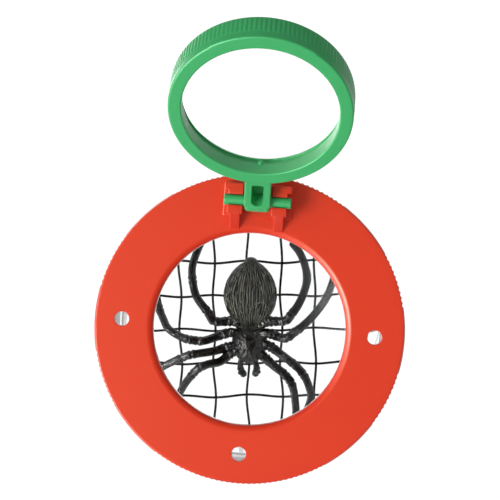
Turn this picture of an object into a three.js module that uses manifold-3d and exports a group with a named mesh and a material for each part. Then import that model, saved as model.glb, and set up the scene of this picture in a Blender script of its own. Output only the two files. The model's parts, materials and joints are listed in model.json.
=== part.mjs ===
// A magnifying bug viewer: a clear jar with a squared floor and a toy spider, a push-on lid with a lens in
// its window, and a second lens in a green frame that flips up on snap-in pins. Millimetres, +Z up, origin
// in the middle of the jar's underside, hinge towards +Y.
import * as THREE from "three";
import { mergeVertices } from "three/addons/utils/BufferGeometryUtils.js";
import Module from "manifold-3d";

// Clearances and shared values
const fitGap = 0.3;
const overrun = 0.6;
const mergeDistance = 1e-5;
const steps = 50;
const frameSteps = 42;
const lensSteps = 36;
const roundSteps = 3;
const domeSteps = 3;

// Jar
const jarHeight = 61;
const jarMouthRadius = 28.3;
const jarTaper = 2.7;
const jarWall = 1.4;
const jarNeckWall = 1.3;
const jarFloorThickness = 1.8;
const jarFootRound = 1.2;
const jarInnerRound = 2.4;
const jarLipRound = 0.5;
const jarFlangeReach = 1.9;
const jarFlangeThickness = 1.4;

// Lid
const lidPlate = 2;
const lidSkirtWall = 2.38;
const lidSkirtDepth = 11;
const lidRimRound = 0.45;
const lidSkirtChamfer = 0.4;
const toothHeight = 0.22;
const toothCount = 180;
const toothFade = 0.6;
const gripLandDegrees = [0, 45, 135, 180, 225, 315];
const gripLandHalfDegrees = 11.5;
const windowBand = 8.2;
const windowRound = 1.2;
const windowLip = 1.7;
const ventRadius = 1.53;
const ventInset = 6.04;
const ventAside = -0.28;
const ventBack = 0.27;
const ventDegrees = [0, 180, 270];
const cupWall = 1.4;
const cupBead = 0.5;
const cupBeadHeight = 0.6;

// Lid lens
const lidLensLand = 1.1;
const lidLensEdge = 1.6;
const lidLensCurve = 129.5;

// Hinge between the lid and the flip-up frame
const hingeInset = 5.71;
const hingeHeight = 5.25;
const closedGap = 0.525;
const openDegrees = 138;
const pinRadius = 1.15;
const pinHalfSpan = 6.9;
const knuckleRadius = 2.2;
const tabWidth = 5.4;
const tabSlotWidth = 2.3;
const tabSlotStart = 0.6;
const tabSlotSkin = 0.6;
const tabSlotEndWall = 3;
const barrelRound = 0.9;
const bracketWidth = 3.1;
const bracketFront = 2.9;
const bracketBack = 3.4;
const bracketHead = 1.1;
const backJawWidth = 3.9;
const snapGap = 2.1;
const snapFlare = 0.5;
const gussetWidth = 2;
const gussetReach = 3.2;
const gussetDrop = 0.9;
const hingePlateThickness = 0.4;
const hingePlateHalfWidth = 7.3;
const hingePlateFront = 3.5;
const stopWall = 1.2;

// Flip-up frame
const frameInset = 1.9;
const frameDepth = 6.8;
const frameFaceWidth = 2.9;
const frameFaceRound = 0.37;
const frameBoreRound = 0.5;
const frameBackRound = 0.3;
const frameSeatWall = 1.4;
const frameSeatDepth = 1.45;
const frameGroove = 0.7;
const frameGrooveStart = 3.3;
const frameSeatLip = 0.45;
const frameSeatLipInset = 0.4;
const ribHeight = 0.1;
const ribCount = 124;
const ribStart = 2.3;
const thumbLipReach = 0.15;
const thumbLipThickness = 1.1;
const thumbLipHalfDegrees = 36;
const thumbLipEndDegrees = 4;
const pipRadius = 0.5;
const pipReach = 0.45;
const pipDepth = 3.3;

// Flip-up lens
const flipLensLand = 1;
const flipLensEdge = 1;
const flipLensCurve = 82;

// Squared grid on the floor
const gridPitch = 5;
const gridStrand = 0.3;
const gridThickness = 0.3;
const gridHoop = 0.8;
const gridWander = 0.18;
const gridAside = -2.42;
const gridBack = 1.25;
const gridTurnDegrees = 4.6;

// Toy spider
const spiderReach = 18;
const spiderMargin = 5.2;
const spiderTurnDegrees = 3.1;
const spiderAside = -1.7;
const spiderBack = -3.7;
const abdomenLength = 10.2;
const abdomenWidth = 7.8;
const abdomenHeight = 6.6;
const abdomenBack = 5.6;
const chestLength = 6;
const chestWidth = 5.5;
const chestHeight = 3.6;
const chestRise = 2.3;
const chestForward = 2.1;
const legThickness = 1.35;
const legTipThickness = 1;
const legKnuckle = 0.28;
const legArch = 2.4;
const jointSpreadShare = 0.04;
const tailLength = 1.6;
const tailWidth = 1.3;
const tailReach = 0.4;
const palpThickness = 0.85;
const limbSides = 6;
const legSteps = 12;
const palpSteps = 4;
const abdomenAround = 18;
const abdomenAlong = 10;
const chestAround = 14;
const chestAlong = 8;

// Sizes worked out from the ones above
const radians = Math.PI / 180;
const lidTop = jarHeight + fitGap + lidPlate;
const lidBottom = lidTop - lidSkirtDepth;
const neckRadius = jarMouthRadius + jarNeckWall;
const skirtRadius = neckRadius + fitGap;
const toothRoot = skirtRadius + lidSkirtWall;
const lidRadius = toothRoot + toothHeight;
const floorTop = jarFloorThickness;
const jarFloorRadius = jarMouthRadius - jarTaper;
const windowRadius = jarMouthRadius - windowBand;
const ventCircleRadius = lidRadius - ventInset;
const lidLensRadius = windowRadius + lidLensLand;
const cupRadius = lidLensRadius + fitGap;
const windowSeat = lidTop - windowLip;
const lidLensTop = windowSeat - fitGap;
const cupBottom = lidLensTop - lidLensEdge - fitGap - cupBeadHeight;
const hingeReach = lidRadius - hingeInset;
const hingeZ = lidTop + hingeHeight;
const faceOffset = hingeHeight - closedGap;
const frameRadius = windowRadius - frameInset;
const frameBore = frameRadius - frameFaceWidth;
const ribRoot = frameRadius - ribHeight;
const frameSeatRadius = ribRoot - frameSeatWall;
const bracketInner = tabWidth / 2 + fitGap;
const gridRadius = jarFloorRadius - jarInnerRound;
const spiderScale = (gridRadius - spiderMargin) / spiderReach;

const wasm = await Module();
wasm.setup();

// Turns a closed geometry into a solid, without the slivers that poles leave behind.
function solidOf(geometry) {
  const bare = geometry.clone();
  bare.deleteAttribute("normal");
  bare.deleteAttribute("uv");
  const merged = mergeVertices(bare, mergeDistance);
  const index = Array.from(merged.index.array);
  const triangles = [];
  for (let i = 0; i < index.length; i += 3) {
    const [a, b, c] = index.slice(i, i + 3);
    if (a !== b && b !== c && c !== a) triangles.push(a, b, c);
  }
  const mesh = new wasm.Mesh({
    numProp: 3,
    vertProperties: new Float32Array(merged.attributes.position.array),
    triVerts: new Uint32Array(triangles),
  });
  return new wasm.Manifold(mesh);
}

function geometryOf(solid) {
  const mesh = solid.getMesh();
  const geometry = new THREE.BufferGeometry();
  const positions = new Float32Array(mesh.vertProperties);
  geometry.setAttribute("position", new THREE.BufferAttribute(positions, mesh.numProp));
  geometry.setIndex(new THREE.BufferAttribute(new Uint32Array(mesh.triVerts), 1));
  geometry.computeVertexNormals();
  return geometry;
}

// A solid of revolution about Z. The outline runs anticlockwise with the radius to the right and Z up.
function revolve(outline, segments = steps) {
  const points = outline.map(([radius, height]) => new THREE.Vector2(radius, height));
  const geometry = new THREE.LatheGeometry(points, segments);
  geometry.rotateX(Math.PI / 2);
  return solidOf(geometry);
}

// The shortest turn from one direction to another.
function turnBetween(from, to) {
  return Math.atan2(Math.sin(to - from), Math.cos(to - from));
}

// Points of a round corner about a centre, from one angle in degrees to another.
function corner(centreRadius, centreHeight, radius, from, to, count = roundSteps) {
  return Array.from({ length: count + 1 }, (_, i) => {
    const angle = (from + ((to - from) * i) / count) * radians;
    return [centreRadius + radius * Math.cos(angle), centreHeight + radius * Math.sin(angle)];
  });
}

// A skin through rows of points, closed by a flat fan at each end. Rows run anticlockwise seen from the last.
function skin(rows) {
  const count = rows[0].length;
  const positions = rows.flat().flatMap((point) => [point.x, point.y, point.z]);
  const index = [];
  for (let row = 0; row + 1 < rows.length; row += 1) {
    for (let i = 0; i < count; i += 1) {
      const a = row * count + i;
      const b = row * count + ((i + 1) % count);
      index.push(a, b, b + count, a, b + count, a + count);
    }
  }
  for (const [row, turned] of [[rows[0], true], [rows.at(-1), false]]) {
    const centre = new THREE.Vector3();
    row.forEach((point) => centre.addScaledVector(point, 1 / count));
    const start = rows.indexOf(row) * count;
    const middle = positions.length / 3;
    positions.push(centre.x, centre.y, centre.z);
    for (let i = 0; i < count; i += 1) {
      const pair = [start + i, start + ((i + 1) % count)];
      index.push(middle, ...(turned ? pair.reverse() : pair));
    }
  }
  const geometry = new THREE.BufferGeometry();
  geometry.setAttribute("position", new THREE.Float32BufferAttribute(positions, 3));
  geometry.setIndex(index);
  return solidOf(geometry);
}

// A flat outline in Y and Z, given depth along X from one side to the other.
function sideExtrusion(outline, fromX, toX) {
  const shape = new THREE.Shape(outline.map(([y, z]) => new THREE.Vector2(y, z)));
  const geometry = new THREE.ExtrudeGeometry(shape, { depth: toX - fromX, bevelEnabled: false });
  // Extrusions rise along Z, so (y, z, depth) is turned round to (depth, y, z).
  geometry.applyMatrix4(new THREE.Matrix4().set(0, 0, 1, fromX, 1, 0, 0, 0, 0, 1, 0, 0, 0, 0, 0, 1));
  return solidOf(geometry);
}

// An upright outline in X and Y, from one height to another.
function upright(outline, fromZ, toZ) {
  const shape = new THREE.Shape(outline.map(([x, y]) => new THREE.Vector2(x, y)));
  const geometry = new THREE.ExtrudeGeometry(shape, { depth: toZ - fromZ, bevelEnabled: false });
  geometry.translate(0, 0, fromZ);
  return solidOf(geometry);
}

function cylinder(radius, fromZ, toZ, segments = 24) {
  const geometry = new THREE.CylinderGeometry(radius, radius, toZ - fromZ, segments);
  geometry.rotateX(Math.PI / 2);
  geometry.translate(0, 0, (fromZ + toZ) / 2);
  return solidOf(geometry);
}

function rodAlongX(radius, fromX, toX, segments = 20) {
  const geometry = new THREE.CylinderGeometry(radius, radius, toX - fromX, segments);
  geometry.rotateZ(-Math.PI / 2);
  geometry.translate((fromX + toX) / 2, 0, 0);
  return solidOf(geometry);
}

function unite(solids) {
  return solids.reduce((whole, solid) => whole.add(solid));
}

function rectangle(fromX, toX, fromY, toY) {
  return [[fromX, fromY], [toX, fromY], [toX, toY], [fromX, toY]];
}

function piece(name, solid, colour, roughness, extra = {}) {
  const material = new THREE.MeshStandardMaterial({ color: colour, roughness, metalness: 0, ...extra });
  const mesh = new THREE.Mesh(geometryOf(solid), material);
  mesh.name = name;
  return mesh;
}

// Radius inside the jar's wall, which widens evenly from the floor to the mouth.
function jarInnerAt(height) {
  const share = (height - floorTop) / (jarHeight - floorTop);
  return jarFloorRadius + (jarMouthRadius - jarFloorRadius) * share;
}

function makeJar() {
  const flangeTop = lidBottom - fitGap;
  const flangeBottom = flangeTop - jarFlangeThickness;
  const baseRadius = jarInnerAt(0) + jarWall;
  const flangeRadius = neckRadius + jarFlangeReach;
  const flangeEdge = jarFlangeThickness / 2;
  const outline = [
    [0, 0],
    ...corner(baseRadius - jarFootRound, jarFootRound, jarFootRound, -90, 0),
    [jarInnerAt(flangeBottom) + jarWall, flangeBottom],
    ...corner(flangeRadius - flangeEdge, flangeBottom + flangeEdge, flangeEdge, -90, 90),
    [neckRadius, flangeTop],
    ...corner(neckRadius - jarLipRound, jarHeight - jarLipRound, jarLipRound, 0, 90, 1),
    ...corner(jarMouthRadius + jarLipRound, jarHeight - jarLipRound, jarLipRound, 90, 180, 1),
    ...corner(jarFloorRadius - jarInnerRound, floorTop + jarInnerRound, jarInnerRound, 0, -90),
    [0, floorTop],
  ];
  return revolve(outline);
}

// A lens with two domed faces and a flat rim, centred on the origin's axis with its rim's top at a height.
function makeLens(radius, land, edge, curve, rimTop) {
  const domeRadius = radius - land;
  const half = Math.asin(domeRadius / curve);
  const centreDrop = curve * Math.cos(half);
  const dome = (share) => [curve * Math.sin(half * share), curve * Math.cos(half * share) - centreDrop];
  const top = Array.from({ length: domeSteps + 1 }, (_, i) => dome(1 - i / domeSteps));
  const outline = [
    ...top.map(([r, rise]) => [r, rimTop - edge - rise]).reverse(),
    [radius, rimTop - edge],
    [radius, rimTop],
    ...top.map(([r, rise]) => [r, rimTop + rise]),
  ];
  return revolve(outline, lensSteps);
}

// The toothed ring round the skirt: teeth between plain lands, fading out at the top edge.
function makeGripTeeth(fromZ, toZ) {
  const pitch = 360 / toothCount;
  const inLand = (degrees) =>
    gripLandDegrees.some((middle) => {
      const turn = turnBetween(middle * radians, degrees * radians);
      return Math.abs(turn) <= gripLandHalfDegrees * radians;
    });
  const outline = [];
  for (let tooth = 0; tooth < toothCount; tooth += 1) {
    const middle = tooth * pitch;
    if (inLand(middle)) {
      outline.push([middle, toothHeight]);
    } else {
      outline.push([middle - pitch / 2, 0], [middle, toothHeight]);
    }
  }
  const row = (height, share, inset) =>
    outline.map(([degrees, reach]) => {
      const radius = toothRoot + reach * share - inset;
      const angle = degrees * radians;
      return new THREE.Vector3(radius * Math.cos(angle), radius * Math.sin(angle), height);
    });
  const band = skin([row(fromZ, 1, 0), row(toZ - toothFade, 1, 0), row(toZ, 0, toothHeight / 2)]);
  return band.subtract(cylinder(toothRoot - toothHeight * 2, fromZ - overrun, toZ + overrun, steps));
}

// One snap bracket seen from the side: a round seat for the pin under a narrower mouth with flared lips.
function bracketOutline() {
  const seat = pinRadius + fitGap;
  const mouth = Math.asin(snapGap / 2 / seat) / radians;
  const flare = snapGap / 2 + snapFlare;
  return [
    [-bracketFront, -hingeHeight - overrun],
    [bracketBack, -hingeHeight - overrun],
    [bracketBack, bracketHead],
    [flare, bracketHead + snapFlare],
    ...corner(0, 0, seat, 90 - mouth, -270 + mouth, 4 * roundSteps),
    [-flare, bracketHead + snapFlare],
    [-bracketFront, bracketHead],
  ];
}

function makeBracket() {
  const inner = bracketInner;
  const jaws = sideExtrusion(bracketOutline(), inner, inner + bracketWidth);
  const backJaw = sideExtrusion(
    rectangle(pinRadius + fitGap + snapFlare, bracketBack, -hingeHeight - overrun, bracketHead),
    inner + bracketWidth / 2,
    inner + backJawWidth,
  );
  const gussetMiddle = inner + bracketWidth / 2;
  const gusset = sideExtrusion(
    [
      [-bracketFront + fitGap, -hingeHeight - overrun],
      [-bracketFront + fitGap, -gussetDrop],
      [-bracketFront, -gussetDrop],
      [-bracketFront - gussetReach, -hingeHeight],
      [-bracketFront - gussetReach, -hingeHeight - overrun],
    ],
    gussetMiddle - gussetWidth / 2,
    gussetMiddle + gussetWidth / 2,
  );
  return unite([jaws, backJaw, gusset]);
}

// The wall behind the tab that the open frame leans on, a fit gap short of the tab's back.
function makeStop() {
  const lean = (180 - openDegrees) * radians;
  const front = bracketBack - stopWall;
  const reach = (front - knuckleRadius * Math.sin(lean)) / Math.cos(lean);
  const height = reach * Math.sin(lean) - knuckleRadius * Math.cos(lean) - fitGap / Math.cos(lean);
  return sideExtrusion(
    rectangle(front, bracketBack, -hingeHeight - overrun, height),
    -bracketInner - fitGap,
    bracketInner + fitGap,
  );
}

function makeLid() {
  const cupOuter = cupRadius + cupWall;
  const plateBottom = lidTop - lidPlate;
  const outline = [
    [windowRadius, windowSeat],
    ...corner(windowRadius + windowRound, lidTop - windowRound, windowRound, 180, 90),
    ...corner(toothRoot - lidRimRound, lidTop - lidRimRound, lidRimRound, 90, 0),
    [toothRoot, lidBottom + lidSkirtChamfer],
    [toothRoot - lidSkirtChamfer, lidBottom],
    [skirtRadius, lidBottom],
    [skirtRadius, plateBottom],
    [cupOuter, plateBottom],
    [cupOuter, cupBottom],
    [cupRadius - cupBead, cupBottom],
    [cupRadius - cupBead, cupBottom + cupBeadHeight / 2],
    [cupRadius, cupBottom + cupBeadHeight],
    [cupRadius, windowSeat],
    [windowRadius, windowSeat],
  ].reverse();
  const body = revolve(outline);
  const teeth = makeGripTeeth(lidBottom + lidSkirtChamfer + toothFade, lidTop - lidRimRound);
  const right = makeBracket();
  const left = right.mirror([1, 0, 0]);
  const plate = upright(
    rectangle(-hingePlateHalfWidth, hingePlateHalfWidth, -hingePlateFront, bracketBack),
    -hingeHeight - overrun,
    -hingeHeight + hingePlateThickness,
  );
  const hinge = unite([plate, right, left, makeStop()]).translate([0, hingeReach, hingeZ]);
  const vents = ventDegrees.map((degrees) =>
    cylinder(ventRadius, plateBottom - overrun, lidTop + overrun).translate([
      ventCircleRadius * Math.cos(degrees * radians) + ventAside,
      ventCircleRadius * Math.sin(degrees * radians) + ventBack,
      0,
    ]),
  );
  return unite([body, teeth, hinge]).subtract(unite(vents));
}

// The frame is drawn shut, with the pins' axis at the origin, and its group turns it open.
function makeFlipFrame() {
  const face = -faceOffset;
  const back = face + frameDepth;
  const seat = back - frameSeatDepth;
  const boreEdge = corner(frameBore + frameBoreRound, face + frameBoreRound, frameBoreRound, 180, 270, 1);
  const outline = [
    ...boreEdge,
    ...corner(ribRoot - frameFaceRound, face + frameFaceRound, frameFaceRound, -90, 0, 1),
    ...corner(ribRoot - frameBackRound, back - frameBackRound, frameBackRound, 0, 90, 1),
    [frameSeatRadius, back],
    [frameSeatRadius, seat],
    [frameBore + frameSeatLipInset, seat],
    [frameBore + frameSeatLipInset, seat - frameSeatLip],
    [frameBore + frameGroove, seat - frameSeatLip],
    [frameBore + frameGroove, face + frameGrooveStart],
    [frameBore, face + frameGrooveStart],
    boreEdge[0],
  ];
  const ring = revolve(outline, frameSteps);
  const pitch = 360 / ribCount;
  const row = (height) =>
    Array.from({ length: ribCount * 2 }, (_, i) => {
      const radius = ribRoot + (i % 2 ? ribHeight : 0);
      const angle = (i * pitch * radians) / 2;
      return new THREE.Vector3(radius * Math.cos(angle), radius * Math.sin(angle), height);
    });
  const ribFrom = face + ribStart;
  const ribTo = back - frameBackRound;
  const ribs = skin([row(ribFrom), row(ribTo)]).subtract(
    cylinder(ribRoot - ribHeight * 2, ribFrom - overrun, ribTo + overrun, frameSteps),
  );
  const lip = makeThumbLip(face);
  const pip = cylinder(pipRadius, -pipReach, overrun, 4 * roundSteps);
  const pipTurned = pip.rotate([-90, 0, 0]).translate([0, frameBore, face + pipDepth]);
  const round = unite([ring, ribs, lip, pipTurned]).translate([0, -hingeReach, 0]);
  return unite([round, makeTab(), ...makePins()]);
}

// The finger lip on the side away from the hinge, a low step outside the face's edge with tapered ends.
function makeThumbLip(face) {
  const full = thumbLipHalfDegrees - thumbLipEndDegrees;
  const outer = corner(0, 0, ribRoot + thumbLipReach, -90 - full, -90 + full, 4 * roundSteps);
  const innerRadius = ribRoot - 2 * frameFaceRound;
  const half = thumbLipHalfDegrees;
  const inner = corner(0, 0, innerRadius, -90 + half, -90 - half, 4 * roundSteps);
  return upright([...outer, ...inner], face, face + thumbLipThickness);
}

// The tab between the brackets: a slotted bar that ends in a barrel with rounded ends about the pins' axis.
function makeTab() {
  const ringWall = hingeReach - ribRoot;
  const bar = sideExtrusion(
    [
      [0, -knuckleRadius],
      [0, knuckleRadius],
      [-ringWall - overrun, knuckleRadius - fitGap],
      [-ringWall - overrun, -knuckleRadius],
    ],
    -tabWidth / 2,
    tabWidth / 2,
  );
  const endAt = tabWidth / 2 - barrelRound;
  const barrel = revolve(
    [
      [0, -tabWidth / 2],
      ...corner(knuckleRadius - barrelRound, -endAt, barrelRound, -90, 0),
      ...corner(knuckleRadius - barrelRound, endAt, barrelRound, 0, 90),
      [0, tabWidth / 2],
    ],
    6 * roundSteps,
  ).rotate([0, 90, 0]);
  const half = tabSlotWidth / 2;
  const slotEnd = -ringWall + tabSlotEndWall;
  const slot = upright(
    [[-half, slotEnd], [half, slotEnd], ...corner(0, -tabSlotStart - half, half, 0, 180, 2 * roundSteps)],
    -knuckleRadius - overrun,
    knuckleRadius - tabSlotSkin,
  );
  return bar.add(barrel).subtract(slot);
}

function makePins() {
  const start = (tabSlotWidth + tabWidth) / 4;
  return [rodAlongX(pinRadius, start, pinHalfSpan), rodAlongX(pinRadius, -pinHalfSpan, -start)];
}

// Cuts an outline down to what lies inside a circle about the origin, and follows the circle where it left.
function insideCircle(outline, radius) {
  const kept = [];
  outline.forEach(([ax, ay], i) => {
    const [bx, by] = outline[(i + 1) % outline.length];
    const inside = Math.hypot(ax, ay) < radius;
    if (inside) kept.push({ at: [ax, ay] });
    const a = (bx - ax) ** 2 + (by - ay) ** 2;
    const b = ax * (bx - ax) + ay * (by - ay);
    const root = b * b - a * (ax * ax + ay * ay - radius * radius);
    if (root <= 0) return;
    const shares = [(-b - Math.sqrt(root)) / a, (-b + Math.sqrt(root)) / a];
    const crossings = shares.filter((share) => share > 0 && share < 1);
    crossings.forEach((share, k) => {
      const leaves = inside ? k % 2 === 0 : k % 2 === 1;
      kept.push({ at: [ax + share * (bx - ax), ay + share * (by - ay)], leaves });
    });
  });
  return kept.flatMap(({ at, leaves }, i) => {
    if (!leaves) return [at];
    const next = kept[(i + 1) % kept.length].at;
    const from = Math.atan2(at[1], at[0]);
    const middle = from + turnBetween(from, Math.atan2(next[1], next[0])) / 2;
    return [at, [radius * Math.cos(middle), radius * Math.sin(middle)]];
  });
}

// The squared grid: a hoop with a square gap between each pair of strands, which wander a little.
function makeGrid() {
  const bottom = floorTop + fitGap;
  const lines = Math.ceil(gridRadius / gridPitch) + 1;
  const half = gridStrand / 2;
  const crossing = (i, j) => {
    const aside = gridWander * ((i + j) % 2 ? 1 : -1);
    return [i * gridPitch + gridAside + aside, j * gridPitch + gridBack - aside];
  };
  const hoop = new THREE.Shape();
  hoop.absarc(0, 0, gridRadius, 0, 2 * Math.PI);
  for (let i = -lines; i < lines; i += 1) {
    for (let j = -lines; j < lines; j += 1) {
      const sides = [[0, 0, 1, 1], [1, 0, -1, 1], [1, 1, -1, -1], [0, 1, 1, -1]];
      const corners = sides.map(([di, dj, sx, sy]) => {
        const [x, y] = crossing(i + di, j + dj);
        return [x + sx * half, y + sy * half];
      });
      const gap = insideCircle(corners, gridRadius - gridHoop).map(([x, y]) => new THREE.Vector2(x, y));
      const area = gap.length > 2 ? THREE.ShapeUtils.area(gap) : 0;
      if (area > gridPitch * gridStrand) hoop.holes.push(new THREE.Path(gap));
    }
  }
  const settings = { depth: gridThickness, bevelEnabled: false, curveSegments: steps / 2 };
  const geometry = new THREE.ExtrudeGeometry(hoop, settings);
  geometry.translate(0, 0, bottom);
  return solidOf(geometry).rotate([0, 0, gridTurnDegrees]);
}

// Leg routes as shares of the reach, from the middle of the chest outwards, each side's own as moulded.
const legRouteShares = [
  [[-0.05, 0], [-0.135, 0.068], [-0.3, 0.068], [-0.366, 0.151], [-0.462, 0.278], [-0.496, 0.416],
    [-0.496, 0.526], [-0.452, 0.647], [-0.388, 0.767]],
  [[-0.05, -0.07], [-0.162, -0.028], [-0.378, -0.099], [-0.477, -0.099], [-0.576, -0.077], [-0.688, -0.012],
    [-0.731, 0.062], [-0.77, 0.167], [-0.795, 0.32]],
  [[-0.05, -0.14], [-0.162, -0.148], [-0.3, -0.188], [-0.422, -0.21], [-0.51, -0.227], [-0.588, -0.26],
    [-0.715, -0.326], [-0.845, -0.42]],
  [[-0.05, -0.18], [-0.146, -0.198], [-0.245, -0.276], [-0.355, -0.304], [-0.433, -0.342], [-0.499, -0.415],
    [-0.56, -0.508], [-0.63, -0.668]],
  [[0.05, 0], [0.148, 0.068], [0.303, 0.084], [0.359, 0.145], [0.414, 0.223], [0.458, 0.333],
    [0.477, 0.438], [0.453, 0.538], [0.402, 0.636], [0.32, 0.72]],
  [[0.05, -0.07], [0.154, -0.028], [0.303, -0.066], [0.402, 0], [0.441, 0.029], [0.524, 0.112],
    [0.596, 0.206], [0.646, 0.305], [0.69, 0.47]],
  [[0.05, -0.14], [0.16, -0.132], [0.281, -0.21], [0.359, -0.265], [0.425, -0.321], [0.48, -0.397],
    [0.513, -0.486], [0.52, -0.57], [0.47, -0.7]],
  [[0.05, -0.18], [0.127, -0.231], [0.22, -0.309], [0.303, -0.37], [0.359, -0.436], [0.381, -0.497],
    [0.392, -0.575], [0.397, -0.679], [0.39, -0.8]],
];
const palpRouteShares = [
  [[-0.05, -0.2], [-0.075, -0.3], [-0.065, -0.363], [-0.042, -0.392]],
  [[0.03, -0.2], [0.058, -0.3], [0.063, -0.354], [0.045, -0.387]],
];
// Where each leg's joints swell, as shares of its route.
const legJointShares = [
  [0.25, 0.375, 0.625], [0.323, 0.435, 0.863], [0.543, 0.7], [0.536, 0.671],
  [0.222, 0.333, 0.678], [0.275, 0.388, 0.85], [0.431, 0.588], [0.388, 0.525],
];

// A limb along a route: it leaves the chest, arches up and comes down to the floor at its tip.
function makeLimb(route, size, jointShares) {
  const last = route.length - 1;
  const points = route.map(([x, y], i) => {
    const share = i / last;
    const tipRise = (size.end / 2) * share;
    const height = chestRise * (1 - share) + size.arch * Math.sin(Math.PI * share) + tipRise;
    return new THREE.Vector3(x * spiderReach, y * spiderReach, height);
  });
  const curve = new THREE.CatmullRomCurve3(points, false, "centripetal");
  const rows = [];
  for (let i = 0; i <= size.count; i += 1) {
    const share = i / size.count;
    const centre = curve.getPoint(share);
    const along = curve.getTangent(share);
    const across = new THREE.Vector3(0, 0, 1).cross(along).normalize();
    const up = along.clone().cross(across);
    const bumps = jointShares.map((joint) => Math.exp(-(((share - joint) / jointSpreadShare) ** 2)));
    const swell = bumps.reduce((sum, bump) => sum + bump, 0);
    const width = size.start + (size.end - size.start) * share + size.knuckle * swell;
    rows.push(
      Array.from({ length: limbSides }, (_, k) => {
        const angle = (k / limbSides) * 2 * Math.PI;
        return centre
          .clone()
          .addScaledVector(across, (Math.cos(angle) * width) / 2)
          .addScaledVector(up, (Math.sin(angle) * width) / 2);
      }),
    );
  }
  return skin(rows);
}

function ovoid(length, width, height, centre, around, along) {
  const geometry = new THREE.SphereGeometry(1, around, along);
  geometry.scale(width / 2, length / 2, height / 2);
  geometry.translate(...centre);
  return solidOf(geometry);
}

function makeSpider() {
  const ground = floorTop + 2 * fitGap + gridThickness;
  const leg = {
    start: legThickness,
    end: legTipThickness,
    knuckle: legKnuckle,
    arch: legArch,
    count: legSteps,
  };
  const palp = { start: palpThickness, end: palpThickness, knuckle: 0, arch: 0, count: palpSteps };
  const legs = legRouteShares.map((route, i) => makeLimb(route, leg, legJointShares[i]));
  const palps = palpRouteShares.map((route) => makeLimb(route, palp, []));
  const abdomenCentre = [0, abdomenBack, abdomenHeight / 2];
  const chestCentre = [0, -chestForward, chestRise];
  const abdomenSpans = [abdomenLength, abdomenWidth, abdomenHeight];
  const abdomen = ovoid(...abdomenSpans, abdomenCentre, abdomenAround, abdomenAlong);
  const chest = ovoid(chestLength, chestWidth, chestHeight, chestCentre, chestAround, chestAlong);
  const tailAt = [0, abdomenBack + (abdomenLength - tailLength) / 2 + tailReach, abdomenHeight / 2];
  const tail = ovoid(tailLength, tailWidth, tailWidth, tailAt, 2 * limbSides, limbSides);
  const spider = unite([abdomen, tail, chest, ...legs, ...palps]).scale(spiderScale);
  return spider.rotate([0, 0, spiderTurnDegrees]).translate([spiderAside, spiderBack, ground]);
}

const clear = { transparent: true, opacity: 0.35 };
const viewer = new THREE.Group();
viewer.add(piece("jar_body", makeJar(), 0xe9f1f2, 0.08, clear));
viewer.add(piece("floor_grid", makeGrid(), 0x17181a, 0.6));
viewer.add(piece("toy_spider", makeSpider(), 0x2b2d29, 0.42));
viewer.add(piece("lid_cap", makeLid(), 0xe4482c, 0.45));
const lidLens = makeLens(lidLensRadius, lidLensLand, lidLensEdge, lidLensCurve, lidLensTop);
viewer.add(piece("lid_lens", lidLens, 0xf2f7f8, 0.04, clear));
const flipGroup = new THREE.Group();
flipGroup.position.set(0, hingeReach, hingeZ);
flipGroup.rotation.x = -openDegrees * radians;
flipGroup.add(piece("flip_frame", makeFlipFrame(), 0x4db873, 0.42));
const flipLensRadius = frameSeatRadius - fitGap;
const flipLensTop = -faceOffset + frameDepth - frameSeatDepth + fitGap + flipLensEdge;
const flipLensSolid = makeLens(flipLensRadius, flipLensLand, flipLensEdge, flipLensCurve, flipLensTop);
const flipLens = piece("flip_lens", flipLensSolid, 0xf2f7f8, 0.04, clear);
flipLens.position.set(0, -hingeReach, 0);
flipGroup.add(flipLens);
viewer.add(flipGroup);

export default viewer;
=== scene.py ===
import bpy
import bmesh
import json
import math
import numpy as np
from mathutils import Matrix, Vector


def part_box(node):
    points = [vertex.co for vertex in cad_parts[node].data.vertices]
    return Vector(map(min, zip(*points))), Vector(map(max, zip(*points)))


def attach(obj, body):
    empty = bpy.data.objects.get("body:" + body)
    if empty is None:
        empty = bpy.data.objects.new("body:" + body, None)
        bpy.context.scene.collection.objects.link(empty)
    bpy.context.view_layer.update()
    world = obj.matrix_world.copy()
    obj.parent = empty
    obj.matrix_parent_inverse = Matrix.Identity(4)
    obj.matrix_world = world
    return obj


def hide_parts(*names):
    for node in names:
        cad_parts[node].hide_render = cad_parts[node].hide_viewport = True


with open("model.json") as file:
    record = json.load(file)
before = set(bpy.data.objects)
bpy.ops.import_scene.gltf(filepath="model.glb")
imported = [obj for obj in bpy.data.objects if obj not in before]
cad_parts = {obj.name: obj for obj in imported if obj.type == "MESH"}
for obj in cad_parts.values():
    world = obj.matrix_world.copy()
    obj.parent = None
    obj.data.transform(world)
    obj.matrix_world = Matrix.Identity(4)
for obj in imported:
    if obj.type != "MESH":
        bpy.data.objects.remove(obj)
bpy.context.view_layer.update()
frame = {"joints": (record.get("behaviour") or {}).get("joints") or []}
scene = bpy.context.scene
scene.view_settings.view_transform = "Standard"
mm = 0.001  # shapes are worked out in millimetres and written in metres
rng = np.random.default_rng(7)


def nodeBox(node):
    return [np.array(corner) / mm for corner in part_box(node)]


flipJoint = next(joint for joint in frame["joints"] if joint["name"] == "frame_flip")
hingeAt = np.array(flipJoint["pos_m"]) / mm
openAngle = math.radians(flipJoint["range_deg"][1])
hingeHeight = 5.25  # pins' axis above the lid's flat top
lidTop = hingeAt[2] - hingeHeight
lidBottom = nodeBox("lid_cap")[0][2]
fitGap = 0.3
holdRow = 0.15  # a row of points this far from a rounding keeps the flat beside it looking flat


def addObject(name, data):
    made = bpy.data.objects.new(name, data)
    scene.collection.objects.link(made)
    return made


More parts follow.
